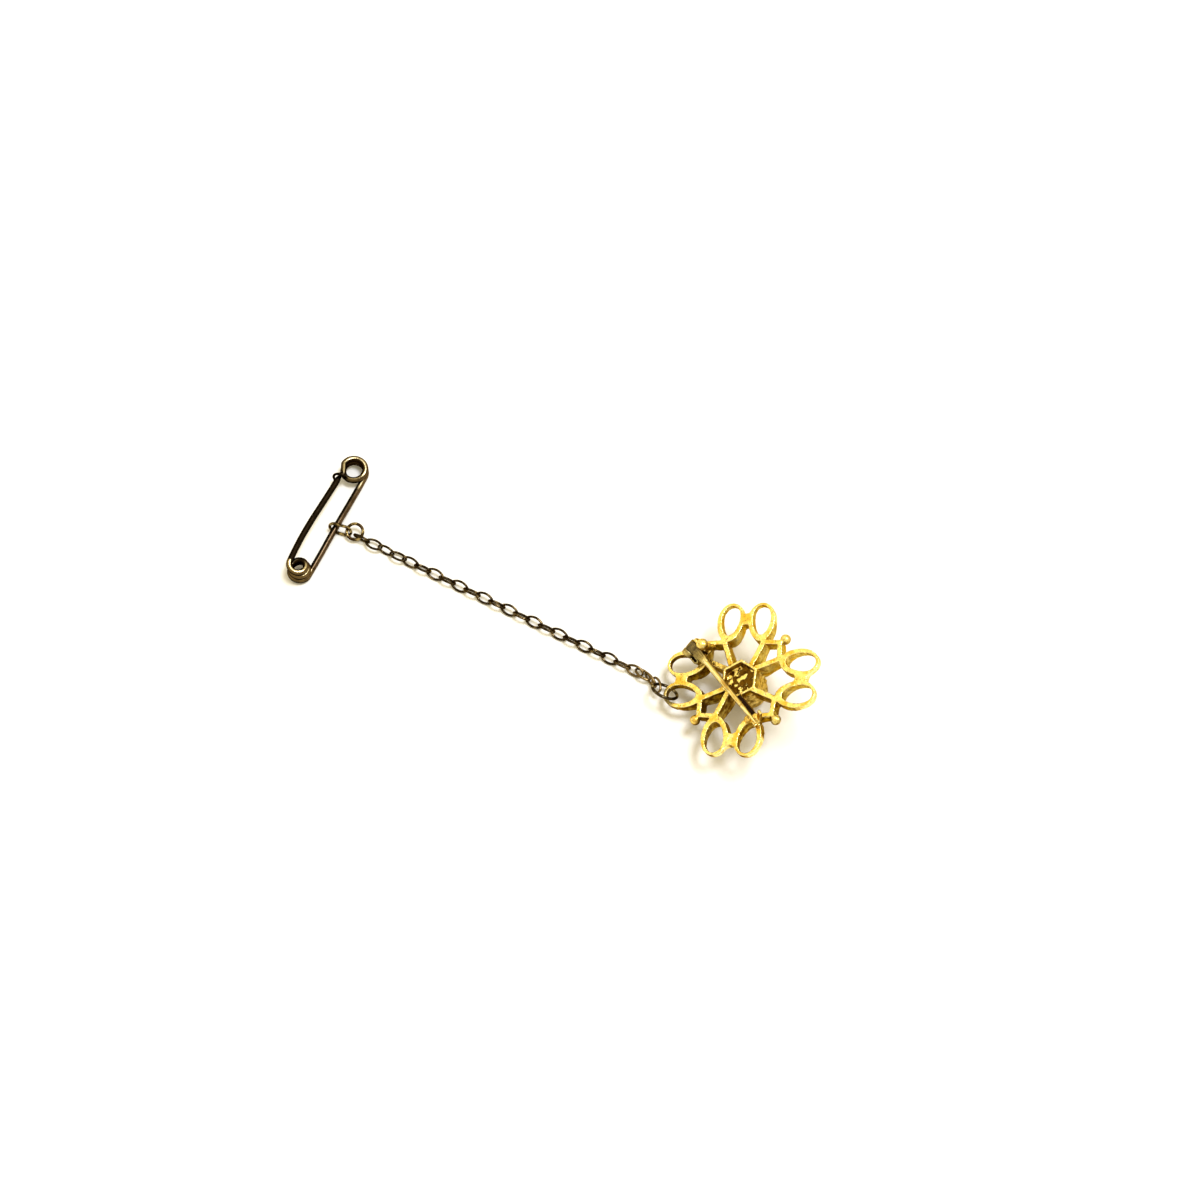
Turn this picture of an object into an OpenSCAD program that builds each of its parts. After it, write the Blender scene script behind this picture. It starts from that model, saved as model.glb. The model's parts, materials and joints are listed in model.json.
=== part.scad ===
// Openwork flower brooch, lying face down, with a trace chain and a small safety pin.
// Millimetres. +X runs along the chain from the safety pin to the flower, +Z is up.
// The origin is the middle of the whole object's box, on the table.

/* [Flower] */
// Distance of each petal loop's hole from the flower's centre
loop_r = 9.15; // [9:0.05:9.3]
// Half the angle between the two loops of a pair
loop_half_angle = 15.4; // [15.2:0.1:15.6]
// How far a loop's long axis turns in towards its pair's axis
loop_lean = 4; // [2:1:6]
// Length of the hole in a loop
hole_l = 4.5; // [4.2:0.1:4.6]
// Width of the hole in a loop
hole_w = 2.7; // [2.5:0.1:2.8]
// Metal at the outer end of a loop
rim_tip = 0.45; // [0.4:0.05:0.55]
// Metal at the sides of a loop
rim_side = 0.66; // [0.6:0.02:0.8]
// Metal at the inner end of a loop
rim_base = 1.0; // [0.9:0.05:1.2]
// Depth of the openwork beside the collet
frame_d = 3.2; // [3:0.1:3.3]
// Depth of the openwork at the petals' outer ends
frame_rim_d = 1.0; // [0.95:0.05:1.1]
// Width of the struts between the collet and the loops
strut_w = 0.75; // [0.7:0.05:0.85]
// Width of the bent bars between neighbouring pairs
link_bar_w = 0.7; // [0.6:0.05:0.8]
// Radius of the small ball buds
bud_r = 0.75; // [0.7:0.05:0.8]
// Corner radius of the hexagonal collet
collet_r = 2.88; // [2.85:0.01:2.95]
// Wall of the collet
collet_wall = 0.36; // [0.3:0.02:0.4]
// How deep the collet's floor lies below its rim
collet_pocket = 1.1; // [0.9:0.1:1.3]
// Radius of the domed front
dome_r = 2.6; // [2.5:0.05:2.6]

/* [How the flower lies] */
// Height of the middle of its back face
flower_z = 6.8; // [6.8:0.05:6.9]
// How far it leans
lean = 21.9; // [21.5:0.1:22]
// Direction in which it leans down
lean_to = 211; // [210:1:212]
// How far the pairs are turned about the flower's own axis
yaw = 19.2; // [19:0.1:19.5]

/* [Brooch pin] */
// Length of the stem from the rivet to its point
stem_l = 15.9; // [15.8:0.1:16]
// Diameter of the stem next to its tongue
stem_d = 0.95; // [0.85:0.05:1]
// Diameter of the stem where its point begins
stem_end_d = 0.56; // [0.5:0.02:0.6]
// Width of the flat tongue
tongue_w = 1.34; // [1.3:0.02:1.38]
// Radius of the tongue round the rivet
tongue_r = 0.86; // [0.8:0.02:0.9]
// Height of the rivet above the flower's back face
stem_z = 1.3; // [1.3:0.05:1.35]
// Diameter of the rivet
rivet_d = 0.56; // [0.5:0.02:0.6]
// Room between the rivet and the tongue's bore
rivet_fit = 0.04; // [0.03:0.01:0.05]
// Lean of the rivet, which carries the stem up and out of its catch
hinge_lean = 18; // [16:1:20]
// Thickness of the far hinge ear
far_ear_t = 0.44; // [0.4:0.02:0.5]
// Thickness of the near hinge ear, which is a loop of strip
near_ear_t = 0.86; // [0.82:0.02:0.9]
// Middle radius of the catch's bend
catch_r = 0.9; // [0.88:0.01:0.92]
// Thickness of the catch's strip
catch_t = 0.4; // [0.36:0.02:0.42]
// Width of the catch's strip
catch_w = 0.8; // [0.7:0.05:0.85]

/* [Chain] */
// Distance from link to link
pitch = 2.051; // [2.04:0.001:2.06]
// Outer width of a link
link_w = 1.75; // [1.7:0.05:1.8]
// Diameter of a link's wire
link_wire = 0.35; // [0.33:0.01:0.36]
// Play between two links pulled tight
link_play = 0.08; // [0.06:0.01:0.1]

/* [Rings] */
// Diameter of the rings' wire
ring_wire = 0.45; // [0.42:0.01:0.46]
// Outer diameter of the ring through the petal loop
flower_ring_d = 4.2; // [4.15:0.05:4.25]
// Outer diameter of the round ring at the safety pin
round_ring_d = 2.8; // [2.75:0.05:2.85]
// Outer length of the oval ring round the safety pin's wire
oval_ring_l = 3.75; // [3.7:0.05:3.75]
// Outer width of the oval ring
oval_ring_w = 2.25; // [2.2:0.05:2.25]

/* [Safety pin] */
// Diameter of the safety pin's wire
wire_d = 0.92; // [0.9:0.01:0.92]
// Middle radius of the ring at its head
head_r = 1.66; // [1.63:0.01:1.68]
// Middle radius of its spring coil
coil_r = 1.36; // [1.34:0.01:1.38]
// Distance from the head's centre to the coil's centre
pin_span = 18.05; // [17.9:0.05:18.3]
// Rise of a turn of the head or coil
turn_rise = 1; // [0.99:0.01:1.02]
// How far the sprung arm bows out
arm_bow = 0.26; // [0.24:0.01:0.28]

/* [Hidden] */
$fn = 48;

// Middle of the whole object's box, seen from above, with link 1 at zero
box_middle = [31.21, 2.19];
flower_at = [59.8, 3.33, flower_z];
// The casting's four pairs differ a little. Columns: turn, shift outwards, half angle added
pairs = [
    [0, 0, 0],
    [0.6, 0, -0.7],
    [0, -0.35, 0],
    [-1, 0, 0.4]
];
stem_strut_pair = 3;
buds_at = [45, -45, -135];
bud_orbit = 8.5;
bud_z = -0.6;
link_corner_r = 7.65;
loop_base_r = 6.3;
loop_base_angle = 28;
strut_root_r = 2.75;
strut_root_angle = 35;
// The strut beneath the stem starts nearly on its pair's axis
stem_strut_root_angle = 6;
web_in = 8.2;
web_out = 9.95;
web_notch_r = 0.9;
web_w = 1.3;
web_overlap = 0.4;
loop_swell = 0.1;
hole_swell = 0.15;
frame_slope_from = 3.6;
frame_slope_to = 10.6;
frame_reach = 12.8;
collet_proud = 0.12;
collet_turn = 30;
dome_z = (dome_r - flower_z) / cos(lean);

// The stem's own frame: x along the stem, y across it towards the flower's centre
stem_at = [-6.95, 4.35, stem_z];
stem_dir = -46.8;
stem_taper_at = 14.2;
stem_point_r = 0.09;
tongue_l = 3.3;
tongue_h = 0.74;
tongue_end_w = 0.9;
tongue_taper_at = 1.4;
stem_in_tongue = 0.6;
ear_gap = 0.07;
near_ear_y = -tongue_w / 2 - ear_gap - near_ear_t / 2;
near_ear_r = 0.88;
near_ear_l = 2.2;
near_ear_slot_w = 0.38;
near_ear_slot = [0.98, 1.78];
far_ear_y = tongue_w / 2 + ear_gap + far_ear_t / 2;
far_ear_r = 0.62;
far_ear_l = 1.8;
saddle_z = -1.45;
saddle_h = 0.45;
saddle_l = 2;
rivet_proud = 0.04;
rivet_from = near_ear_y - near_ear_t / 2 - rivet_proud;
rivet_to = far_ear_y + far_ear_t / 2 + rivet_proud;
// Ball on a post beside the far ear
hinge_ball = [1.5, 1.58, 1.1];
hinge_ball_r = 0.85;
hinge_post_r = 0.45;
hinge_post_z = -1.9;
// The catch is a J: a bend beneath the stem's end, then a straight limb that flares out
catch_at = 15.3;
catch_from = -140;
catch_to = -45;
catch_limb_l = 1.4;
// Columns: x, y, z, radius
catch_solder = [[13.8, -0.95, -1.2, 0.62], [15.0, -0.3, -1.2, 0.5]];

// Chain: the first links are twisted, the last three lie slack
head_rolls = [96, -6, 70, -26, 54, -44];
roll = 41;
straight_links = 23;
chain_z = 0.71;
chain_lift = 0.2;
link_in_l = pitch + link_play;
link_end_r = 0.46;
// Columns: x, y, z, heading, pitch up, roll
tail = [
    [46.44, 0, 0.84, -11.5, -0.5, -25],
    [47.83, -0.31, 0.99, -27, 0, 78],
    [49.03, -0.9, 1.59, -44, 12, 44]
];
link_count = straight_links + len(tail);

flower_ring_at = [50.7, -1.56, 2.39];
flower_ring_tilt = 43;
flower_ring_tilt_to = 86;
round_ring_at = [-1.4, 0.43, 1.04];
round_ring_tilt = 18;
round_ring_tilt_to = -55;
oval_ring_at = [-3.45, -0.26, 1.1];
oval_ring_turn = [75, 0, 10];

head_at = [-6.54, 9.13];
pin_turn = 3.9;
wire_z = wire_d / 2;
// The straight side rises over the oval ring's wire
side_rise = 0.55;
side_bow = 0.15;
head_turns = 1.5;
coil_turns = 2.5;
coil_nip = 0.28;
coil_nip_power = 3;
head_z = wire_z + head_turns * turn_rise;
coil_z = wire_z + coil_turns * turn_rise;
turn_steps = 20;
side_steps = 7;
wire_sides = 8;
// The hook's wire is drawn thin where it curls over the arm's end
hook_wire_r = 0.2;
hook_draw = 0.25;
hook_r = 0.8;
hook_y = -1.8;
hook_drop = 0.8;
hook_start = 45;
hook_sweep = 210;
hook_steps = 9;
arm_steps = 18;
arm_top = [-1.42, -1.5, 1.6];
arm_point_from = 0.94;
arm_point_r = 0.1;

function link_name(i) = str("link_", i < 10 ? "0" : "", i);
function polar(r, a) = [r * cos(a), r * sin(a)];
function egg(back, front, half_w, swell) =
    [for (t = [0:15:345]) [(front - back) / 2 + (front + back) / 2 * cos(t),
                           half_w * sin(t) * (1 + swell * cos(t))]];

// A tube of wire_sides sides along the points p, with the radius r[i] at the point i.
// Each ring's first side is carried along from the last ring, so the tube never twists.
function unit(v) = v / norm(v);
function heading(p, i) = unit(p[min(i + 1, len(p) - 1)] - p[max(i - 1, 0)]);
function carry(v, t) = unit(v - (v * t) * t);
function sides_of(p) =
    [for (i = 0, v = carry([0, 0, 1], heading(p, 0));
          i < len(p);
          i = i + 1, v = i < len(p) ? carry(v, heading(p, i)) : v) v];
module tube(p, r, sides) {
    first = sides_of(p);
    points = [for (i = [0:len(p) - 1], j = [0:sides - 1])
        p[i] + r[i] * (cos(360 * j / sides) * first[i]
                       + sin(360 * j / sides) * cross(heading(p, i), first[i]))];
    walls = [for (i = [0:len(p) - 2], j = [0:sides - 1])
        [i * sides + j, (i + 1) * sides + j,
         (i + 1) * sides + (j + 1) % sides, i * sides + (j + 1) % sides]];
    last = (len(p) - 1) * sides;
    ends = [[for (j = [0:sides - 1]) j], [for (j = [sides - 1:-1:0]) last + j]];
    polyhedron(points, concat(walls, ends));
}

// Tilts what lies flat, so that its axis leans towards the direction given
module tilted(angle, towards) {
    rotate(angle, [cos(towards + 90), sin(towards + 90), 0]) children();
}

module in_flower() {
    translate(flower_at) tilted(lean, lean_to) rotate([0, 0, yaw]) children();
}

module in_stem() {
    translate(stem_at) rotate([hinge_lean, 0, stem_dir]) children();
}

// Bar between two points of the flower's plane
module bar(a, b, w) {
    d = b - a;
    translate(a) rotate(atan2(d[1], d[0])) translate([0, -w / 2]) square([norm(d), w]);
    translate(a) circle(d = w);
    translate(b) circle(d = w);
}

module loop_at(pair, side) {
    translate(polar(loop_r + pair[1], side * (loop_half_angle + pair[2])))
        rotate(-side * loop_lean) children();
}

module loop_outline(pair, side) {
    loop_at(pair, side) polygon(egg(hole_l / 2 + rim_base, hole_l / 2 + rim_tip,
                                    hole_w / 2 + rim_side, loop_swell));
}

module loop_hole(pair, side) {
    loop_at(pair, side) polygon(egg(hole_l / 2, hole_l / 2, hole_w / 2, hole_swell));
}

module web(pair) {
    translate([pair[1], 0]) difference() {
        translate([web_in - web_overlap, -web_w / 2])
            square([web_out - web_in + 2 * web_overlap, web_w]);
        translate([web_in - web_notch_r, 0]) circle(r = web_notch_r);
        translate([web_out + web_notch_r, 0]) circle(r = web_notch_r);
    }
}

module pair_profile(k) {
    pair = pairs[k];
    difference() {
        union() {
            for (side = [-1, 1]) {
                base = polar(loop_base_r, side * loop_base_angle);
                root = k == stem_strut_pair && side > 0 ? stem_strut_root_angle
                                                        : side * strut_root_angle;
                rotate(pair[0]) loop_outline(pair, side);
                bar(polar(strut_root_r, root), base, strut_w);
                bar(base, polar(link_corner_r, side * 45), link_bar_w);
            }
            rotate(pair[0]) web(pair);
        }
        for (side = [-1, 1]) rotate(pair[0]) loop_hole(pair, side);
    }
}

module openwork() {
    intersection() {
        translate([0, 0, -frame_d]) linear_extrude(frame_d)
            for (k = [0:len(pairs) - 1]) rotate(90 * k) pair_profile(k);
        // The front is domed: the openwork grows thinner towards the petals' outer ends
        rotate_extrude() polygon([[0, 0], [frame_reach, 0], [frame_reach, -frame_rim_d],
                                  [frame_slope_to, -frame_rim_d], [frame_slope_from, -frame_d],
                                  [0, -frame_d]]);
    }
}

module collet_body() {
    translate([0, 0, dome_z]) rotate(collet_turn)
        cylinder(r = collet_r, h = collet_proud - dome_z, $fn = 6);
    translate([0, 0, dome_z]) sphere(r = dome_r);
}

module collet_recess() {
    translate([0, 0, collet_proud - collet_pocket]) rotate(collet_turn)
        cylinder(r = collet_r - collet_wall * 2 / sqrt(3), h = collet_pocket + 1, $fn = 6);
}

module ear(y, t, length, r) {
    translate([0, y, 0]) rotate([90, 0, 0]) {
        cylinder(r = r, h = t, center = true);
        translate([-r, saddle_z, -t / 2]) cube([r + length, -saddle_z, t]);
    }
}

// Flat shape with round ends, between two places on the x axis
module slot(from, to, w) {
    translate([from, -w / 2]) square([to - from, w]);
    translate([from, 0]) circle(d = w);
    translate([to, 0]) circle(d = w);
}

module near_ear() {
    difference() {
        intersection() {
            ear(near_ear_y, near_ear_t, near_ear_l, near_ear_r);
            translate([0, near_ear_y, saddle_z]) linear_extrude(near_ear_r - saddle_z)
                slot(near_ear_t / 2 - near_ear_r, near_ear_l - near_ear_t / 2, near_ear_t);
        }
        translate([0, near_ear_y, saddle_z + saddle_h]) linear_extrude(-saddle_z)
            slot(near_ear_slot[0], near_ear_slot[1], near_ear_slot_w);
    }
}

module hinge_bracket() {
    in_stem() {
        near_ear();
        ear(far_ear_y, far_ear_t, far_ear_l, far_ear_r);
        translate([-far_ear_r, near_ear_y, saddle_z])
            cube([far_ear_r + saddle_l, far_ear_y + far_ear_t / 2 - near_ear_y, saddle_h]);
        translate(hinge_ball) sphere(r = hinge_ball_r);
        translate([hinge_ball[0], hinge_ball[1], hinge_post_z])
            cylinder(r = hinge_post_r, h = hinge_ball[2] - hinge_post_z);
    }
}

module catch_hook() {
    in_stem() {
        translate([catch_at, 0, 0]) rotate([90, 0, 90]) {
            rotate([0, 0, catch_from]) rotate_extrude(angle = catch_to - catch_from)
                translate([catch_r - catch_t / 2, -catch_w / 2]) square([catch_t, catch_w]);
            rotate([0, 0, catch_to]) translate([catch_r - catch_t / 2, 0, -catch_w / 2])
                cube([catch_t, catch_limb_l, catch_w]);
        }
        for (row = catch_solder) translate([row[0], row[1], row[2]]) sphere(r = row[3]);
    }
}

module rivet_bore(d) {
    in_stem() rotate([90, 0, 0]) cylinder(d = d, h = 4 * tongue_w, center = true);
}

module flower_frame() {
    color("gold") in_flower() difference() {
        union() {
            openwork();
            collet_body();
            for (a = buds_at) translate([bud_orbit * cos(a), bud_orbit * sin(a), bud_z])
                sphere(r = bud_r);
            hinge_bracket();
            catch_hook();
        }
        collet_recess();
        rivet_bore(rivet_d);
    }
}

module pin_stem() {
    color("darkkhaki") in_flower() in_stem() difference() {
        union() {
            rotate([90, 0, 0]) cylinder(r = tongue_r, h = tongue_w, center = true);
            translate([0, 0, -tongue_h / 2]) linear_extrude(tongue_h)
                polygon([[0, -tongue_w / 2], [tongue_taper_at, -tongue_w / 2],
                         [tongue_l, -tongue_end_w / 2], [tongue_l, tongue_end_w / 2],
                         [tongue_taper_at, tongue_w / 2], [0, tongue_w / 2]]);
            translate([tongue_l - stem_in_tongue, 0, 0]) rotate([0, 90, 0])
                cylinder(d1 = stem_d, d2 = stem_end_d,
                         h = stem_taper_at - tongue_l + stem_in_tongue);
            translate([stem_taper_at, 0, 0]) rotate([0, 90, 0])
                cylinder(r1 = stem_end_d / 2, r2 = stem_point_r, h = stem_l - stem_taper_at);
        }
        rotate([90, 0, 0]) cylinder(d = rivet_d + 2 * rivet_fit, h = 2 * tongue_w, center = true);
    }
}

module hinge_rivet() {
    color("darkgoldenrod") in_flower() in_stem() translate([0, rivet_to, 0])
        rotate([90, 0, 0]) cylinder(d = rivet_d, h = rivet_to - rivet_from);
}

// Oval link of round wire, of two small and two large arcs: inner length along x, inner width
// along y, and the small arcs' middle radius
module chain_oval(inner_l, inner_w, wire, end_r) {
    half_l = (inner_l + wire) / 2;
    half_w = (inner_w + wire) / 2;
    side_r = (pow(half_l - end_r, 2) + pow(half_w, 2) - pow(end_r, 2)) / (2 * (half_w - end_r));
    bend = atan2(side_r - half_w, half_l - end_r);
    for (end = [0, 1]) rotate([0, 0, 180 * end]) {
        translate([half_l - end_r, 0, 0]) rotate([0, 0, -bend])
            rotate_extrude(angle = 2 * bend) translate([end_r, 0]) circle(d = wire);
        translate([0, half_w - side_r, 0]) rotate([0, 0, bend])
            rotate_extrude(angle = 180 - 2 * bend) translate([side_r, 0]) circle(d = wire);
    }
}

// Long ring of round wire: inner length along x, inner width along y
module ring_link(inner_l, inner_w, wire) {
    straight = inner_l - inner_w;
    mid_r = (inner_w + wire) / 2;
    for (end = [0, 1]) rotate([0, 0, 180 * end]) {
        translate([straight / 2, 0, 0]) rotate([0, 0, -90])
            rotate_extrude(angle = 180) translate([mid_r, 0]) circle(d = wire);
        translate([0, mid_r, 0]) rotate([0, 90, 0])
            cylinder(d = wire, h = straight, center = true);
    }
}

module round_link(outer, wire) {
    rotate_extrude() translate([(outer - wire) / 2, 0]) circle(d = wire);
}

function link_roll(i) = i <= len(head_rolls) ? head_rolls[i - 1] : i % 2 == 1 ? roll : roll - 90;
function link_place(i) = i > straight_links
    ? [for (c = [0:2]) tail[i - straight_links - 1][c]]
    : [(i - 1) * pitch, 0, chain_z + chain_lift * max(0, 1 - (i - 1) / len(head_rolls))];
function link_turn(i) = i > straight_links
    ? let (row = tail[i - straight_links - 1]) [row[5], -row[4], row[3]]
    : [link_roll(i), 0, 0];

module chain_link(i) {
    color("darkolivegreen") translate(link_place(i)) rotate(link_turn(i))
        chain_oval(link_in_l, link_w - 2 * link_wire, link_wire, link_end_r);
}

module flower_ring() {
    color("darkseagreen") translate(flower_ring_at)
        tilted(flower_ring_tilt, flower_ring_tilt_to) round_link(flower_ring_d, ring_wire);
}

module pin_ring_round() {
    color("tan") translate(round_ring_at)
        tilted(round_ring_tilt, round_ring_tilt_to) round_link(round_ring_d, ring_wire);
}

module pin_ring_oval() {
    color("tan") translate(oval_ring_at) rotate(oval_ring_turn)
        ring_link(oval_ring_l - 2 * ring_wire, oval_ring_w - 2 * ring_wire, ring_wire);
}

// Safety pin: one wire, from the hook round the head, down the side, round the coil, up the arm
function hook_points() =
    [for (i = [hook_steps:-1:0])
        let (t = i / hook_steps, a = hook_start + hook_sweep * t)
        [arm_top[0] + hook_r * cos(a), hook_y - hook_drop * t, arm_top[2] + hook_r * sin(a)]];
function head_points() =
    [for (i = [0:turn_steps * head_turns])
        let (a = 180 - 360 * i / turn_steps)
        [head_r * cos(a), head_r * sin(a), head_z - turn_rise * i / turn_steps]];
function side_points() =
    [for (i = [1:side_steps])
        let (t = i / (side_steps + 1))
        [head_r + (coil_r - head_r) * t + side_bow * sin(180 * t), -pin_span * t,
         wire_z + side_rise * pow(sin(180 * t), 2)]];
function coil_points() =
    [for (i = [0:turn_steps * coil_turns])
        let (t = i / (turn_steps * coil_turns), a = -360 * i / turn_steps,
             r = coil_r - coil_nip * sin(180 * pow(t, coil_nip_power)))
        [r * cos(a), r * sin(a) - pin_span, wire_z + turn_rise * i / turn_steps]];
function arm_points() =
    [for (i = [1:arm_steps])
        let (t = i / arm_steps)
        [-coil_r + (arm_top[0] + coil_r) * t - 2 * arm_bow * (1 - t) * sin(180 * t),
         -pin_span + (arm_top[1] + pin_span) * t,
         coil_z + (arm_top[2] - coil_z) * t]];

module safety_pin() {
    hook = hook_points();
    arm = arm_points();
    path = concat(hook, head_points(), side_points(), coil_points(), arm);
    arm_at = len(path) - len(arm);
    radii = [for (i = [0:len(path) - 1])
        i < len(hook) ? max(hook_wire_r, wire_d / 2 * (1 - hook_draw * (len(hook) - 1 - i)))
        : wire_d / 2 - (wire_d / 2 - arm_point_r)
            * max(0, (i - arm_at + 1) / arm_steps - arm_point_from) / (1 - arm_point_from)];
    color("saddlebrown") translate(head_at) rotate([0, 0, pin_turn]) tube(path, radii, wire_sides);
}

module placed() {
    translate([-box_middle[0], -box_middle[1], 0]) children();
}

placed() flower_frame();
placed() pin_stem();
placed() hinge_rivet();
placed() flower_ring();
for (i = [1:link_count])
    placed() chain_link(i);
placed() pin_ring_round();
placed() pin_ring_oval();
placed() safety_pin();
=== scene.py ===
import bpy
import bmesh
import json
import math
from mathutils import Matrix, Vector


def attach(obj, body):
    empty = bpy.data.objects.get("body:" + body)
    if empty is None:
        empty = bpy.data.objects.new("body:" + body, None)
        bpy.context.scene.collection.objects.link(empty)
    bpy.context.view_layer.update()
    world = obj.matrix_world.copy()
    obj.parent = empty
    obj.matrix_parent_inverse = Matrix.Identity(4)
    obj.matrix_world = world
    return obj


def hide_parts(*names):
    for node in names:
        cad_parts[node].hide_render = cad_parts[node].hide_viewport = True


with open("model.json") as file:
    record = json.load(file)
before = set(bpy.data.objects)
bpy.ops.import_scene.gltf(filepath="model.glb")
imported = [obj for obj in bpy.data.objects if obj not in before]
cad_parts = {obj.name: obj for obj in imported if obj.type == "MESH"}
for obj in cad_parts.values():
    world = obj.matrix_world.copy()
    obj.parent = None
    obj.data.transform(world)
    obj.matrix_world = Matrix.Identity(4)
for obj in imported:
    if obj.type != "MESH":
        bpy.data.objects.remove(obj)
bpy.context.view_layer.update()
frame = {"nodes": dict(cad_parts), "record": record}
mm = 0.001
print("brooch: frame loaded")

# Where things lie, in the CAD source's own millimetres and degrees
boxMiddle = (31.21, 2.19)
flowerPlace = {
    "at": (59.8, 3.33, 6.8),
    "lean": 21.9,
    "leanTo": 211,
    "yaw": 19.2,
    "stemAt": (-6.95, 4.35, 1.3),
    "stemTurn": -46.8,
    "hingeLean": 18,
}
pinPlace = {"head": (-6.54, 9.13), "turn": 3.9}


def shift(point):
    return Matrix.Translation(Vector(point) * mm)


def fromSource(x, y, z=0):
    # The frame has the middle of the object's box at x = y = 0
    return shift((x - boxMiddle[0], y - boxMiddle[1], z))


def turn(angle, axis="Z"):
    return Matrix.Rotation(math.radians(angle), 4, axis)


def tilt(angle, towards):
    side = math.radians(towards + 90)
    return turn(angle, Vector((math.cos(side), math.sin(side), 0)))


def upAxis(matrix):
    return (matrix.to_3x3() @ Vector((0, 0, 1))).normalized()


flowerMatrix = (fromSource(*flowerPlace["at"]) @ tilt(flowerPlace["lean"], flowerPlace["leanTo"])
                @ turn(flowerPlace["yaw"]))
stemMatrix = (flowerMatrix @ shift(flowerPlace["stemAt"]) @ turn(flowerPlace["stemTurn"])
              @ turn(flowerPlace["hingeLean"], "X"))
pinMatrix = fromSource(*pinPlace["head"]) @ turn(pinPlace["turn"])


def linked(piece):
    bpy.context.scene.collection.objects.link(piece)
    return piece


# Camera at the photograph's angle
camera = {
    "azimuth": 28,
    "elevation": 64,
    "distance": 400,
    "aim": (4.06, 5.71, 0),
    "fieldOfView": 24.55,
    "nearest": 10,
}


def placeCamera(c):
    around, rise = math.radians(c["azimuth"]), math.radians(c["elevation"])
    back = Vector((math.sin(around) * math.cos(rise), -math.cos(around) * math.cos(rise),
                   math.sin(rise)))
    data = bpy.data.cameras.new("camera")
    data.angle = math.radians(c["fieldOfView"])
    data.clip_start = c["nearest"] * mm
    eye = linked(bpy.data.objects.new("camera", data))
    eye.location = (Vector(c["aim"]) + back * c["distance"]) * mm
    eye.rotation_euler = back.to_track_quat("Z", "Y").to_euler()
    bpy.context.scene.camera = eye


placeCamera(camera)
print("brooch: camera placed")


# Small helpers for materials. In the dictionaries a noise is (grains per millimetre, detail,
# roughness), a bump (strength, depth in millimetres), a range (from, to, value at from, value at
# to), a limit (millimetres, softness, least value) and the side of a box (low, high, softness)
def newMaterial(name):
    material = bpy.data.materials.new(name)
    material.use_nodes = True
    return material, material.node_tree, material.node_tree.nodes["Principled BSDF"]


def addNode(tree, kind, **settings):
    node = tree.nodes.new(kind)
    for key, value in settings.items():
        setattr(node, key, value)
    return node


def feed(tree, socket, value):
    # A number, vector or colour is set on the socket, an output is linked to it
    if isinstance(value, tuple) and socket.type == "RGBA":
        socket.default_value = (*value, 1)
    elif isinstance(value, (int, float, tuple, Vector)):
        socket.default_value = value
    else:
        tree.links.new(value, socket)


def addNoise(tree, vector, perMm, detail, roughness=0.5):
    noise = addNode(tree, "ShaderNodeTexNoise")
    for name, value in [("Vector", vector), ("Scale", perMm / mm), ("Detail", detail),
                        ("Roughness", roughness)]:
        feed(tree, noise.inputs[name], value)
    return noise.outputs["Fac"]


def addRange(tree, value, low, high, toLow=0, toHigh=1):
    node = addNode(tree, "ShaderNodeMapRange", interpolation_type="SMOOTHSTEP")
    for name, number in [("Value", value), ("From Min", low), ("From Max", high),
                         ("To Min", toLow), ("To Max", toHigh)]:
        feed(tree, node.inputs[name], number)
    return node.outputs["Result"]


def patches(tree, vector, noise, limits):
    return addRange(tree, addNoise(tree, vector, *noise), *limits)


def addMath(tree, operation, a, b, clamp=False):
    node = addNode(tree, "ShaderNodeMath", operation=operation, use_clamp=clamp)
    feed(tree, node.inputs[0], a)
    feed(tree, node.inputs[1], b)
    return node.outputs[0]


def addVector(tree, operation, a, b=(0, 0, 0)):
    node = addNode(tree, "ShaderNodeVectorMath", operation=operation)
    feed(tree, node.inputs[0], a)
    feed(tree, node.inputs[1], b)
    measures = ("DOT_PRODUCT", "LENGTH", "DISTANCE")
    return node.outputs["Value" if operation in measures else "Vector"]


def addMix(tree, factor, a, b):
    # Inputs 6 and 7 and output 2 are the mix node's colours
    node = addNode(tree, "ShaderNodeMix", data_type="RGBA")
    for name, value in [("Factor", factor), (6, a), (7, b)]:
        feed(tree, node.inputs[name], value)
    return node.outputs[2]


def addBump(tree, height, strength, depth, normal=None):
    bump = addNode(tree, "ShaderNodeBump")
    for name, value in [("Height", height), ("Strength", strength), ("Distance", depth * mm)]:
        feed(tree, bump.inputs[name], value)
    if normal:
        feed(tree, bump.inputs["Normal"], normal)
    return bump.outputs["Normal"]


def product(tree, *factors):
    result = factors[0]
    for factor in factors[1:]:
        result = addMath(tree, "MULTIPLY", result, factor)
    return result


def opposite(tree, factor):
    # 1 where the factor is 0, and 0 where it is 1
    return addRange(tree, factor, 0, 1, 1, 0)


def above(tree, value, limit, soft, least=0):
    return addRange(tree, value, (limit - soft) * mm, (limit + soft) * mm, least, 1)


def below(tree, value, limit, soft):
    return addRange(tree, value, (limit + soft) * mm, (limit - soft) * mm)


def between(tree, value, low, high, soft):
    return product(tree, above(tree, value, low, soft), below(tree, value, high, soft))


def axes(tree, vector):
    parts = addNode(tree, "ShaderNodeSeparateXYZ")
    feed(tree, parts.inputs[0], vector)
    return list(parts.outputs)


def objectCoordinates(tree):
    return addNode(tree, "ShaderNodeTexCoord").outputs["Object"]


def localCoordinates(tree, matrix):
    # Object coordinates seen from the frame that the matrix gives
    mapping = addNode(tree, "ShaderNodeMapping", vector_type="TEXTURE")
    mapping.inputs["Location"].default_value = matrix.to_translation()
    mapping.inputs["Rotation"].default_value = matrix.to_euler()
    feed(tree, mapping.inputs["Vector"], objectCoordinates(tree))
    return mapping.outputs["Vector"]


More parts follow.
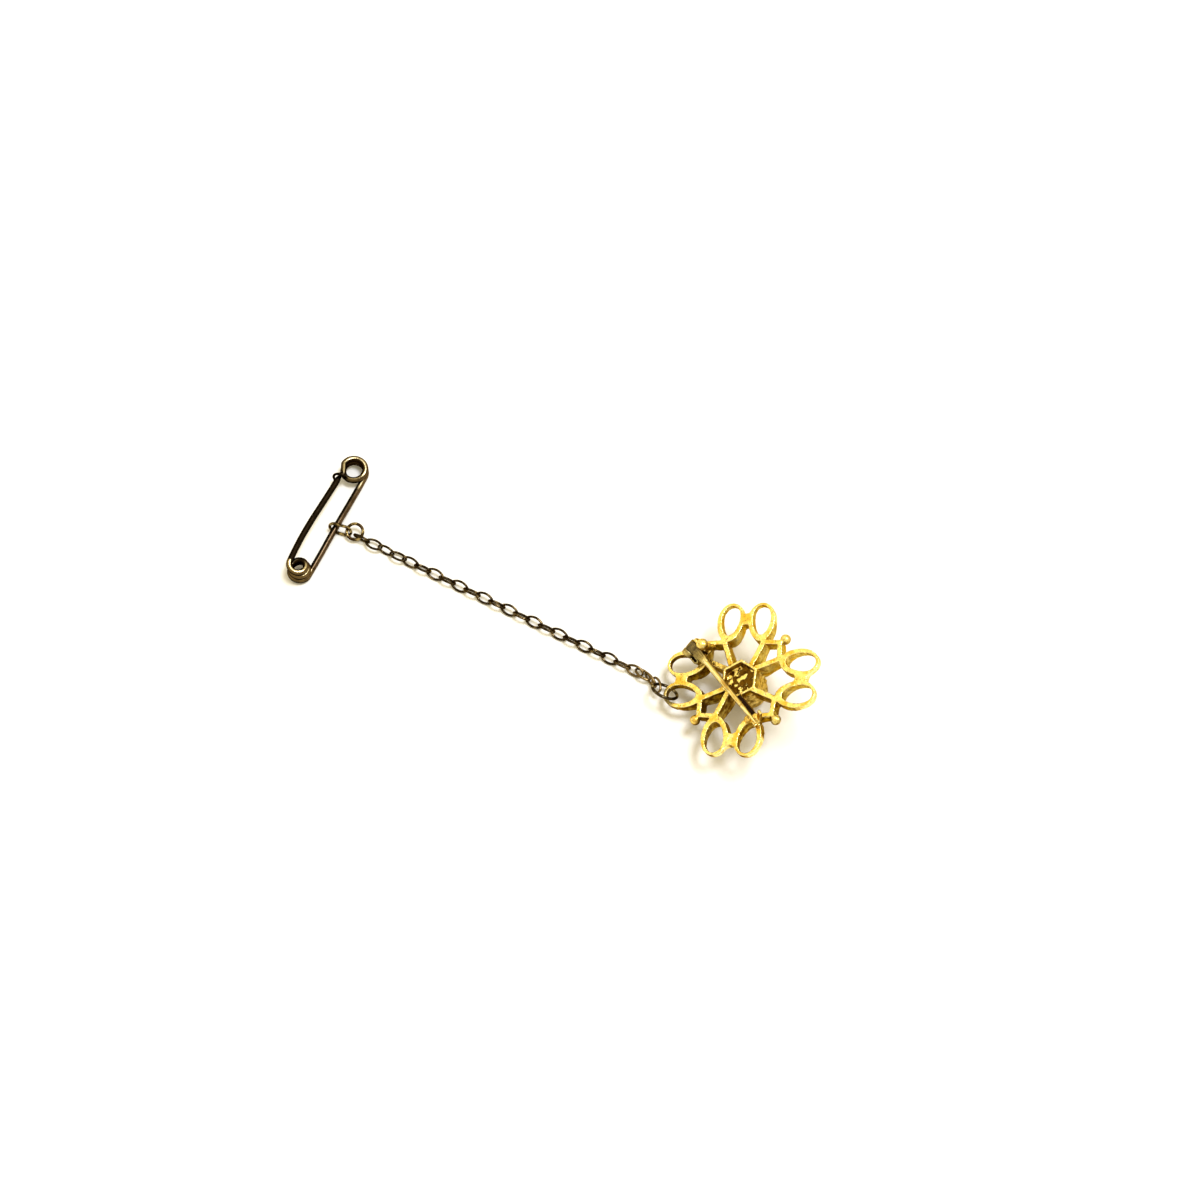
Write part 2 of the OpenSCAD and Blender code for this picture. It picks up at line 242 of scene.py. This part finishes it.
def insideBox(tree, matrix, *sides):
    # 1 inside a box along the axes of the frame that the matrix gives
    places = axes(tree, localCoordinates(tree, matrix))
    return product(tree, *[between(tree, place, *side) for place, side in zip(places, sides)])


def surfaceNormal(tree):
    return addNode(tree, "ShaderNodeNewGeometry").outputs["Normal"]


def facing(tree, axis):
    # How far the surface faces along the axis
    return addVector(tree, "DOT_PRODUCT", surfaceNormal(tree), axis)


def facingAway(tree, centre):
    # How far the surface faces away from an upright axis through the centre: below 0 inside a ring
    out = addVector(tree, "SUBTRACT", objectCoordinates(tree), centre)
    unit = addVector(tree, "NORMALIZE", addVector(tree, "MULTIPLY", out, (1, 1, 0)))
    return addVector(tree, "DOT_PRODUCT", surfaceNormal(tree), unit)


def finishMetal(tree, shader, color, edge, roughness, normal):
    # Bare metal, tinted at grazing angles by its edge colour
    for name, value in [("Metallic", 1), ("Specular Tint", edge), ("Base Color", color),
                        ("Roughness", roughness), ("Normal", normal)]:
        feed(tree, shader.inputs[name], value)


# Cast gold of the flower: bright and worn on its back face, brown down its walls, partly grime and
# partly painted shade
castGold = {
    "bright": (1.0, 0.8, 0.24),
    "deep": (0.84, 0.52, 0.06),
    "toneNoise": (0.6, 4),
    "tone": (0.38, 0.58),
    "worn": (0.34, 0.17, 0.018),
    "speckNoise": (2.4, 4, 0.6),
    "speck": (0.56, 0.68, 0, 0.75),
    "paintedHighlight": (1.0, 0.88, 0.42),
    "edgePoint": (0.505, 0.56, 0, 0.8),
    "brown": (0.115, 0.053, 0.004),
    "cornerPoint": (0.49, 0.44, 0, 0.85),
    "stainNoise": (1.1, 5, 0.65),
    "stain": (0.34, 0.6, 0.6, 1),
    "wallFacing": (0.75, 0.1),
    "rim": (9.6, 0.5),
    "rimOutward": (0, 0.4),
    "rimFacing": (0.75, 0.2),
    "rimTowards": (0.88, 0.47, 0),
    "rimTowardsFacing": (-0.4, 0.3),
    "lampSideTowards": (0.29, 0.96, 0),
    "lampSideFrom": -2,
    "lampSideTo": 7,
    "lampSideLeast": 0.55,
    "pale": (0.72, 0.53, 0.16),
    "olive": (0.19, 0.12, 0.03),
    "blotchNoise": (1.6, 5, 0.7),
    "blotch": (0.42, 0.62),
    "domeRadius": (3.05, 0.25),
    "domeTop": (-1.2, 0.3),
    "upFacing": (0.5, 0.8),
    "floorRadius": (2.675, 0.075),
    "floorTop": (-0.475, 0.125),
    "floorNoise": (1.3, 3),
    "floorGrain": (0.5, 0.58),
    "dark": (0.02, 0.01, 0.006),
    "strutAt": (0.287, -2.735, 0),
    "strutTurn": -46.6,
    "strutBox": [(-0.1, 3.7, 0.08), (-0.42, 0.42, 0.05), (-0.4, 0.2, 0.05)],
    "grey": (0.2, 0.16, 0.08),
    "greyStain": (0.35, 0.6, 1, 0.6),
    "greyReflectionAt": (-10.9, -3.0, -0.5),
    "greyReflectionRadius": (1.76, 0.44),
    "earBox": [(-1, 2.3, 0.15), (-1.65, 0, 0.1), (-1.3, 1, 0.2)],
    "edge": (0.75, 0.5, 0.16),
    "roughness": (0.3, 0.7, 0.13, 0.36),
    "dirtRoughness": 0.2,
    "grainNoise": (2.6, 6, 0.6),
    "grainBump": (0.8, 0.08),
    "lumpNoise": (1.1, 3),
    "lumpBump": (0.7, 0.4),
    "floorBump": (0.8, 0.3),
}


def castGoldMaterial(c):
    material, tree, shader = newMaterial("castGold")
    local = localCoordinates(tree, flowerMatrix)
    height = axes(tree, local)[2]
    radius = addVector(tree, "LENGTH", addVector(tree, "MULTIPLY", local, (1, 1, 0)))
    face = facing(tree, upAxis(flowerMatrix))
    stain = addNoise(tree, local, *c["stainNoise"])
    specks = patches(tree, local, c["speckNoise"], c["speck"])
    gold = addMix(tree, patches(tree, local, c["toneNoise"], c["tone"]), c["deep"], c["bright"])
    gold = addMix(tree, specks, gold, c["worn"])
    # Painted highlight along raised edges; brown in the corners, partly dirt and partly painted
    # shade
    point = addNode(tree, "ShaderNodeNewGeometry").outputs["Pointiness"]
    gold = addMix(tree, addRange(tree, point, *c["edgePoint"]), gold, c["paintedHighlight"])
    gold = addMix(tree, addRange(tree, point, *c["cornerPoint"]), gold, c["brown"])
    # Painted highlight: the petals' outer walls that face right are painted bright, standing in for
    # reflected light
    middle = flowerMatrix.to_translation()
    rim = product(tree, above(tree, radius, *c["rim"]),
                  addRange(tree, facingAway(tree, middle), *c["rimOutward"]),
                  addRange(tree, facing(tree, c["rimTowards"]), *c["rimTowardsFacing"]))
    rimReflection = product(tree, rim, addRange(tree, face, *c["rimFacing"]))
    color = addMix(tree, rimReflection, gold, addMix(tree, specks, c["paintedHighlight"], c["deep"]))
    # The other walls are brown, partly grime and partly painted shade, and painted lighter on the
    # flower's upper right, the lamp side
    lampSideTowards = Vector(c["lampSideTowards"])
    side = addVector(tree, "DOT_PRODUCT", objectCoordinates(tree), lampSideTowards)
    start = middle.dot(lampSideTowards)
    lampSideLighter = addRange(tree, side, start + c["lampSideFrom"] * mm, start + c["lampSideTo"] * mm,
                     1, c["lampSideLeast"])
    grimeAndShade = product(tree, addRange(tree, face, *c["wallFacing"]), opposite(tree, rim), lampSideLighter,
                   addRange(tree, stain, *c["stain"]))
    color = addMix(tree, grimeAndShade, color, c["brown"])
    # The domed front, seen past the openwork, is paler
    dome = product(tree, below(tree, radius, *c["domeRadius"]), below(tree, height, *c["domeTop"]))
    blotch = patches(tree, local, c["blotchNoise"], c["blotch"])
    color = addMix(tree, dome, color, addMix(tree, blotch, c["pale"], c["olive"]))
    # The collet's floor is brown with bright grains
    up = addRange(tree, face, *c["upFacing"])
    floor = product(tree, up, below(tree, radius, *c["floorRadius"]),
                    below(tree, height, *c["floorTop"]))
    grains = patches(tree, local, c["floorNoise"], c["floorGrain"])
    color = addMix(tree, floor, color, addMix(tree, grains, c["brown"], c["bright"]))
    # Painted shade: the top of the strut beside the stem's end is painted nearly black, standing in
    # for deep shade and a dark reflection
    strutMatrix = flowerMatrix @ shift(c["strutAt"]) @ turn(c["strutTurn"])
    strut = product(tree, up, insideBox(tree, strutMatrix, *c["strutBox"]))
    color = addMix(tree, strut, color, c["dark"])
    # Grey on a petal's rim beside the ring, a painted reflection, and grey on the hinge ear
    distance = addVector(tree, "DISTANCE", local, Vector(c["greyReflectionAt"]) * mm)
    grey = product(tree, addMath(tree, "MAXIMUM", below(tree, distance, *c["greyReflectionRadius"]),
                                 insideBox(tree, stemMatrix, *c["earBox"])),
                   addRange(tree, stain, *c["greyStain"]))
    color = addMix(tree, grey, color, c["grey"])
    roughness = addMath(tree, "ADD", addRange(tree, stain, *c["roughness"]),
                        product(tree, grimeAndShade, c["dirtRoughness"]))
    normal = addBump(tree, addNoise(tree, local, *c["grainNoise"]), *c["grainBump"])
    normal = addBump(tree, addNoise(tree, local, *c["lumpNoise"]), *c["lumpBump"], normal)
    normal = addBump(tree, product(tree, floor, grains), *c["floorBump"], normal)
    finishMetal(tree, shader, color, c["edge"], roughness, normal)
    return material


# Drawn gold of the pin's stem: olive at the hinge, streaked and bright towards its point
drawnGold = {
    "olive": (0.17, 0.13, 0.06),
    "hingeEnd": (2.9, 2.1),
    "stainNoise": (1.2, 5, 0.6),
    "hingeStain": (0.3, 0.7, -0.25, 0.25),
    "bright": (1.0, 0.8, 0.26),
    "brown": (0.5, 0.3, 0.06),
    "stretch": (0.12, 1, 1),
    "streakNoise": (3.5, 4, 0.6),
    "streak": (0.45, 0.62),
    "tongueEnd": (3, 0.5),
    "flankShade": (0.26, 0.16, 0.035),
    "flankFacing": (0.8, 0.45, 0, 0.85),
    "flankStain": (0.3, 0.6, 0.6, 1),
    "pale": (1.0, 0.93, 0.6),
    "crestFacing": (0.93, 0.99),
    "crestStreak": (0.52, 0.44, 0, 0.8),
    "nick": (12.12, 12.28, 0.04),
    "edge": (0.75, 0.55, 0.2),
    "roughness": (0.3, 0.7, 0.18, 0.34),
    "lineNoise": (6, 3),
    "lineBump": (0.4, 0.04),
}


def drawnGoldMaterial(c):
    material, tree, shader = newMaterial("drawnGold")
    local = localCoordinates(tree, stemMatrix)
    length = axes(tree, local)[0]
    face = facing(tree, upAxis(stemMatrix))
    stain = addNoise(tree, local, *c["stainNoise"])
    stretched = addVector(tree, "MULTIPLY", local, c["stretch"])
    streaks = addNoise(tree, stretched, *c["streakNoise"])
    gold = addMix(tree, addRange(tree, streaks, *c["streak"]), c["bright"], c["brown"])
    past = addMath(tree, "ADD", above(tree, length, *c["hingeEnd"]),
                   addRange(tree, stain, *c["hingeStain"]), clamp=True)
    color = addMix(tree, past, c["olive"], gold)
    # Past the tongue its flanks are painted brown as shade and its crest gets a painted pale
    # highlight in places
    wire = above(tree, length, *c["tongueEnd"])
    flankShade = product(tree, wire, addRange(tree, face, *c["flankFacing"]),
                    addRange(tree, stain, *c["flankStain"]))
    color = addMix(tree, flankShade, color, c["flankShade"])
    crestHighlight = product(tree, wire, addRange(tree, face, *c["crestFacing"]),
                    addRange(tree, streaks, *c["crestStreak"]))
    color = addMix(tree, crestHighlight, color, c["pale"])
    color = addMix(tree, between(tree, length, *c["nick"]), color, c["brown"])
    finishMetal(tree, shader, color, c["edge"], addRange(tree, stain, *c["roughness"]),
                addBump(tree, addNoise(tree, stretched, *c["lineNoise"]), *c["lineBump"]))
    return material


# Tarnished metal of the chain and rings, paler where it is rubbed
chainMetal = {
    "name": "chainMetal",
    "dark": (0.026, 0.017, 0.007),
    "pale": (0.21, 0.15, 0.07),
    "stainNoise": (1.1, 5, 0.6),
    "stain": (0.5, 0.7),
    "warm": (0.34, 0.23, 0.09),
    "warmEnd": (14, 4),
    "warmShare": 0.55,
    "edge": (0.45, 0.36, 0.22),
    "roughness": (0.3, 0.7, 0.4, 0.2),
}
flowerRingMetal = {
    "name": "flowerRingMetal",
    "dark": (0.045, 0.033, 0.017),
    "pale": (0.36, 0.29, 0.16),
    "stainNoise": (0.8, 5, 0.6),
    "stain": (0.48, 0.68),
    "edge": (0.5, 0.42, 0.28),
    "roughness": (0.3, 0.7, 0.32, 0.16),
}
brassRing = {
    "name": "brassRing",
    "dark": (0.03, 0.016, 0.005),
    "pale": (0.46, 0.35, 0.15),
    "stainNoise": (0.9, 5, 0.6),
    "stain": (0.48, 0.64),
    "edge": (0.5, 0.4, 0.22),
    "roughness": (0.3, 0.7, 0.24, 0.1),
}
wirePits = {"noise": (5, 4, 0.6), "bump": (0.35, 0.04)}


def pitted(tree, vector):
    return addBump(tree, addNoise(tree, vector, *wirePits["noise"]), *wirePits["bump"])


def wireMaterial(c):
    material, tree, shader = newMaterial(c["name"])
    place = objectCoordinates(tree)
    stain = addNoise(tree, place, *c["stainNoise"])
    color = addMix(tree, addRange(tree, stain, *c["stain"]), c["dark"], c["pale"])
    if "warm" in c:
        # Warmer and paler towards the flower
        end = above(tree, axes(tree, place)[0], *c["warmEnd"])
        color = addMix(tree, product(tree, end, c["warmShare"]), color, c["warm"])
    finishMetal(tree, shader, color, c["edge"], addRange(tree, stain, *c["roughness"]),
                pitted(tree, place))
    return material


# Safety pin's wire, along the CAD tube's path: hook, head ring, side, coil and arm
safetyPin = {
    "wire": 0.92,
    "headRadius": 1.66,
    "coilRadius": 1.36,
    "span": 18.05,
    "rise": 1.0,
    "bow": 0.26,
    "sideRise": 0.55,
    "sideBow": 0.15,
    "sideSteps": 24,
    "headTurns": 1.5,
    "coilTurns": 2.5,
    "coilNip": 0.28,
    "coilNipPower": 3,
    "stepsPerTurn": 56,
    "hookWire": 0.2,
    "hookTaper": 0.094,
    "hookRadius": 0.8,
    "hookY": -1.8,
    "hookDrop": 0.8,
    "hookStart": 45,
    "hookSweep": 210,
    "hookSteps": 24,
    "armTop": (-1.42, -1.5, 1.6),
    "armSteps": 40,
    "pointFrom": 0.94,
    "pointRadius": 0.1,
    "roundness": 3,
}


def safetyPinPath(c):
    # Rows of x, y, z and radius from the hook to the point
    low = c["wire"] / 2
    headZ = low + c["headTurns"] * c["rise"]
    coilZ = low + c["coilTurns"] * c["rise"]
    rows = []
    for k in range(c["hookSteps"], -1, -1):
        t = k / c["hookSteps"]
        a = math.radians(c["hookStart"] + c["hookSweep"] * t)
        rows.append((c["armTop"][0] + c["hookRadius"] * math.cos(a), c["hookY"] - c["hookDrop"] * t,
                     c["armTop"][2] + c["hookRadius"] * math.sin(a),
                     max(c["hookWire"], low * (1 - c["hookTaper"] * k))))
    n = c["stepsPerTurn"]
    for k in range(int(n * c["headTurns"]) + 1):
        a = math.pi - 2 * math.pi * k / n
        rows.append((c["headRadius"] * math.cos(a), c["headRadius"] * math.sin(a),
                     headZ - c["rise"] * k / n, low))
    for k in range(1, c["sideSteps"]):
        t = k / c["sideSteps"]
        rows.append((c["headRadius"] + (c["coilRadius"] - c["headRadius"]) * t
                     + c["sideBow"] * math.sin(math.pi * t), -c["span"] * t,
                     low + c["sideRise"] * math.sin(math.pi * t) ** 2, low))
    total = int(n * c["coilTurns"])
    for k in range(total + 1):
        t = k / total
        a = -2 * math.pi * k / n
        r = c["coilRadius"] - c["coilNip"] * math.sin(math.pi * t ** c["coilNipPower"])
        rows.append((r * math.cos(a), r * math.sin(a) - c["span"], low + c["rise"] * k / n, low))
    for k in range(1, c["armSteps"] + 1):
        t = k / c["armSteps"]
        taper = max(0, t - c["pointFrom"]) / (1 - c["pointFrom"])
        rows.append((-c["coilRadius"] + (c["armTop"][0] + c["coilRadius"]) * t
                     - 2 * c["bow"] * (1 - t) * math.sin(math.pi * t),
                     -c["span"] + (c["armTop"][1] + c["span"]) * t,
                     coilZ + (c["armTop"][2] - coilZ) * t,
                     low - (low - c["pointRadius"]) * taper))
    return rows


# Brass of the safety pin: nearly black tarnish, with painted light: a painted brown lit side,
# painted shade inside the turns and painted highlights on them
safetyBrass = {
    "stainNoise": (0.7, 5, 0.65),
    "worn": (0.32, 0.55, 0.35, 1),
    "dark": (0.009, 0.006, 0.003),
    "brown": (0.105, 0.068, 0.036),
    "sideFrom": (0.3, 0.6, 0.1),
    "lightTowards": (0.78, 0.42, 0.46),
    "lightFacing": (0.35, 0.85),
    "headEnd": (-2.2, 0.5),
    "headShare": 0.6,
    "hookX": (-0.4, 0.3),
    "hookY": (-1.5, 0.3),
    "coilEnd": (-17.4, 0.5),
    "coilShare": 1,
    "armX": (-0.9, 0.2),
    "armY": (-17.9, 0.2),
    "inner": (0.025, 0.013, 0.004),
    "inward": (0.1, -0.3),
    "tan": (0.165, 0.112, 0.046),
    "outward": (-0.35, 0.1),
    "bright": (0.74, 0.62, 0.35),
    "crestTowards": (0.16, 0.08, 0.98),
    "tanFacing": (0.2, 0.6),
    "crestFacing": (0.92, 0.99),
    "edge": (0.35, 0.28, 0.18),
    "roughness": (0.3, 0.7, 0.16, 0.34),
}


def safetyBrassMaterial(c):
    material, tree, shader = newMaterial("safetyBrass")
    local = localCoordinates(tree, pinMatrix)
    x, y = axes(tree, local)[:2]
    stain = addNoise(tree, local, *c["stainNoise"])
    worn = addRange(tree, stain, *c["worn"])
    # Painted light: in worn patches the side wire is painted brown where it faces the lamp
    litWornSide = product(tree, worn, above(tree, x, *c["sideFrom"]),
                     addRange(tree, facing(tree, c["lightTowards"]), *c["lightFacing"]))
    color = addMix(tree, litWornSide, c["dark"], c["brown"])
    # The hook and the arm stay dark beside the turns at their ends
    hook = product(tree, below(tree, x, *c["hookX"]), below(tree, y, *c["hookY"]))
    arm = product(tree, below(tree, x, *c["armX"]), above(tree, y, *c["armY"]))
    head = product(tree, above(tree, y, *c["headEnd"]), opposite(tree, hook))
    coil = product(tree, below(tree, y, *c["coilEnd"]), opposite(tree, arm))
    # On the turns: painted shade inside, painted light tan on their outer sides and thin painted
    # highlights along their tops
    up = facing(tree, c["crestTowards"])
    for turns, share, centre in [(head, c["headShare"], (0, 0, 0)),
                                 (coil, c["coilShare"], (0, -safetyPin["span"], 0))]:
        out = facingAway(tree, pinMatrix @ (Vector(centre) * mm))
        inside = product(tree, turns, addRange(tree, out, *c["inward"]))
        color = addMix(tree, inside, color, c["inner"])
        litOutside = product(tree, turns, worn, addRange(tree, out, *c["outward"], 0, share),
                          addRange(tree, up, *c["tanFacing"]))
        color = addMix(tree, litOutside, color, c["tan"])
        crestHighlight = product(tree, turns, worn, addRange(tree, up, *c["crestFacing"], 0, share))
        color = addMix(tree, crestHighlight, color, c["bright"])
    finishMetal(tree, shader, color, c["edge"], addRange(tree, stain, *c["roughness"]),
                pitted(tree, local))
    return material


materials = {
    "cast_gold": castGoldMaterial(castGold),
    "pin_gold": drawnGoldMaterial(drawnGold),
    "dark_ring": wireMaterial(flowerRingMetal),
    "chain_metal": wireMaterial(chainMetal),
    "brass_ring": wireMaterial(brassRing),
    "tarnished_brass": safetyBrassMaterial(safetyBrass),
}
print("brooch: materials made")


def finished(name, mesh, slotName, body):
    # Puts a finished mesh in the scene, smooth, with its material, on its body
    piece = linked(bpy.data.objects.new(name, mesh))
    mesh.materials.clear()
    mesh.materials.append(materials[slotName])
    for polygon in mesh.polygons:
        polygon.use_smooth = True
    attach(piece, body)
    return piece


def applied(piece):
    # The mesh of a piece with its modifiers applied
    layer = bpy.context.evaluated_depsgraph_get()
    mesh = bpy.data.meshes.new_from_object(piece.evaluated_get(layer))
    bpy.data.objects.remove(piece)
    return mesh


# Wear of the flower and the stem, millimetres: keep is the share of faces left at the end
flowerWear = {
    "weld": 0.002,
    "voxel": 0.09,
    "smoothSteps": 4,
    "smoothFactor": 0.5,
    "lump": 0.12,
    "lumpSize": 1.3,
    "keep": 0.5,
}
stemWear = {
    "weld": 0.002,
    "voxel": 0.05,
    "smoothSteps": 5,
    "smoothFactor": 0.5,
    "lump": 0.02,
    "lumpSize": 0.8,
    "keep": 0.8,
}


def softened(node, c):
    # The node's own shape with worn, rounded edges and the unevenness of cast metal
    mesh = frame["nodes"][node].data.copy()
    work = bmesh.new()
    work.from_mesh(mesh)
    bmesh.ops.remove_doubles(work, verts=work.verts, dist=c["weld"] * mm)
    work.to_mesh(mesh)
    work.free()
    piece = linked(bpy.data.objects.new("work", mesh))
    remesh = piece.modifiers.new("remesh", "REMESH")
    remesh.mode = "VOXEL"
    remesh.voxel_size = c["voxel"] * mm
    smooth = piece.modifiers.new("smooth", "SMOOTH")
    smooth.factor = c["smoothFactor"]
    smooth.iterations = c["smoothSteps"]
    clouds = bpy.data.textures.new("lumps", "CLOUDS")
    clouds.noise_scale = c["lumpSize"] * mm
    displace = piece.modifiers.new("lumps", "DISPLACE")
    displace.texture = clouds
    displace.strength = c["lump"] * mm
    decimate = piece.modifiers.new("decimate", "DECIMATE")
    decimate.ratio = c["keep"]
    return applied(piece)


flower = finished("flower", softened("flower_frame", flowerWear), "cast_gold", "brooch")
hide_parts("flower_frame")
print("brooch: flower made,", len(flower.data.polygons), "faces")

stem = finished("stem", softened("pin_stem", stemWear), "pin_gold", "stem")
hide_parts("pin_stem")
print("brooch: stem made,", len(stem.data.polygons), "faces")


def wireMesh(rows, matrix, roundness):
    # A round wire along the rows: a curve bevelled by 1 mm, so a row's radius is in millimetres
    curve = bpy.data.curves.new("wire", "CURVE")
    curve.dimensions = "3D"
    curve.bevel_depth = mm
    curve.bevel_resolution = roundness
    curve.use_fill_caps = True
    spline = curve.splines.new("POLY")
    spline.points.add(len(rows) - 1)
    for point, (x, y, z, r) in zip(spline.points, rows):
        point.co = (*(matrix @ (Vector((x, y, z)) * mm)), 1)
        point.radius = r
    return applied(linked(bpy.data.objects.new("wire", curve)))


safetyMesh = wireMesh(safetyPinPath(safetyPin), pinMatrix, safetyPin["roundness"])
safetyWire = finished("safetyWire", safetyMesh, "tarnished_brass", "brooch")
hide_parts("safety_pin")
print("brooch: safety pin made,", len(safetyWire.data.polygons), "faces")

# The CAD's own meshes get the material of their slot
for row in frame["record"]["subparts"]:
    node = frame["nodes"][row["node"]]
    node.data.materials.clear()
    node.data.materials.append(materials[row["material_slot"]])
print("brooch: CAD nodes dressed")


# White paper, a soft lamp from the right and pale surroundings
studio = {
    "paper": (0.86, 0.85, 0.83),
    "paperRoughness": 0.9,
    "paperSize": 2000,
    "lampLean": 18,
    "lampAzimuth": 48,
    "lampEnergy": 2.4,
    "lampAngle": 21,
    "lampColor": (0.96, 1.0, 1.1),
    "skyColor": (1.0, 0.88, 0.6),
    "skyHeight": (0.05, 0.6, 0.4, 1.12),
    "glowTowards": (-0.745, 0.063, 0.665),
    "glow": (0.82, 0.97, 0, 0.5),
}


def layPaper(c):
    mesh = bpy.data.meshes.new("paper")
    work = bmesh.new()
    bmesh.ops.create_grid(work, x_segments=1, y_segments=1, size=c["paperSize"] / 2 * mm)
    work.to_mesh(mesh)
    work.free()
    paper = linked(bpy.data.objects.new("paper", mesh))
    material, tree, shader = newMaterial("paper")
    feed(tree, shader.inputs["Base Color"], c["paper"])
    feed(tree, shader.inputs["Roughness"], c["paperRoughness"])
    mesh.materials.append(material)


def hangLamp(c):
    lamp = bpy.data.lights.new("lamp", "SUN")
    lamp.energy = c["lampEnergy"]
    lamp.angle = math.radians(c["lampAngle"])
    lamp.color = c["lampColor"]
    sun = linked(bpy.data.objects.new("lamp", lamp))
    lean, around = math.radians(c["lampLean"]), math.radians(c["lampAzimuth"])
    towards = Vector((math.sin(lean) * math.cos(around), math.sin(lean) * math.sin(around),
                      math.cos(lean)))
    sun.rotation_euler = towards.to_track_quat("Z", "Y").to_euler()


def buildSurroundings(c):
    # Dark near the horizon, pale above, and a broad glow that the flower's back reflects
    world = bpy.data.worlds.new("surroundings")
    bpy.context.scene.world = world
    world.use_nodes = True
    tree = world.node_tree
    direction = addNode(tree, "ShaderNodeTexCoord").outputs["Generated"]
    sky = addRange(tree, axes(tree, direction)[2], *c["skyHeight"])
    towards = addVector(tree, "DOT_PRODUCT", direction, c["glowTowards"])
    strength = addMath(tree, "ADD", sky, addRange(tree, towards, *c["glow"]))
    background = tree.nodes["Background"]
    feed(tree, background.inputs["Color"], c["skyColor"])
    feed(tree, background.inputs["Strength"], strength)


layPaper(studio)
hangLamp(studio)
buildSurroundings(studio)
bpy.context.scene.view_settings.view_transform = "Standard"
print("brooch: studio built")
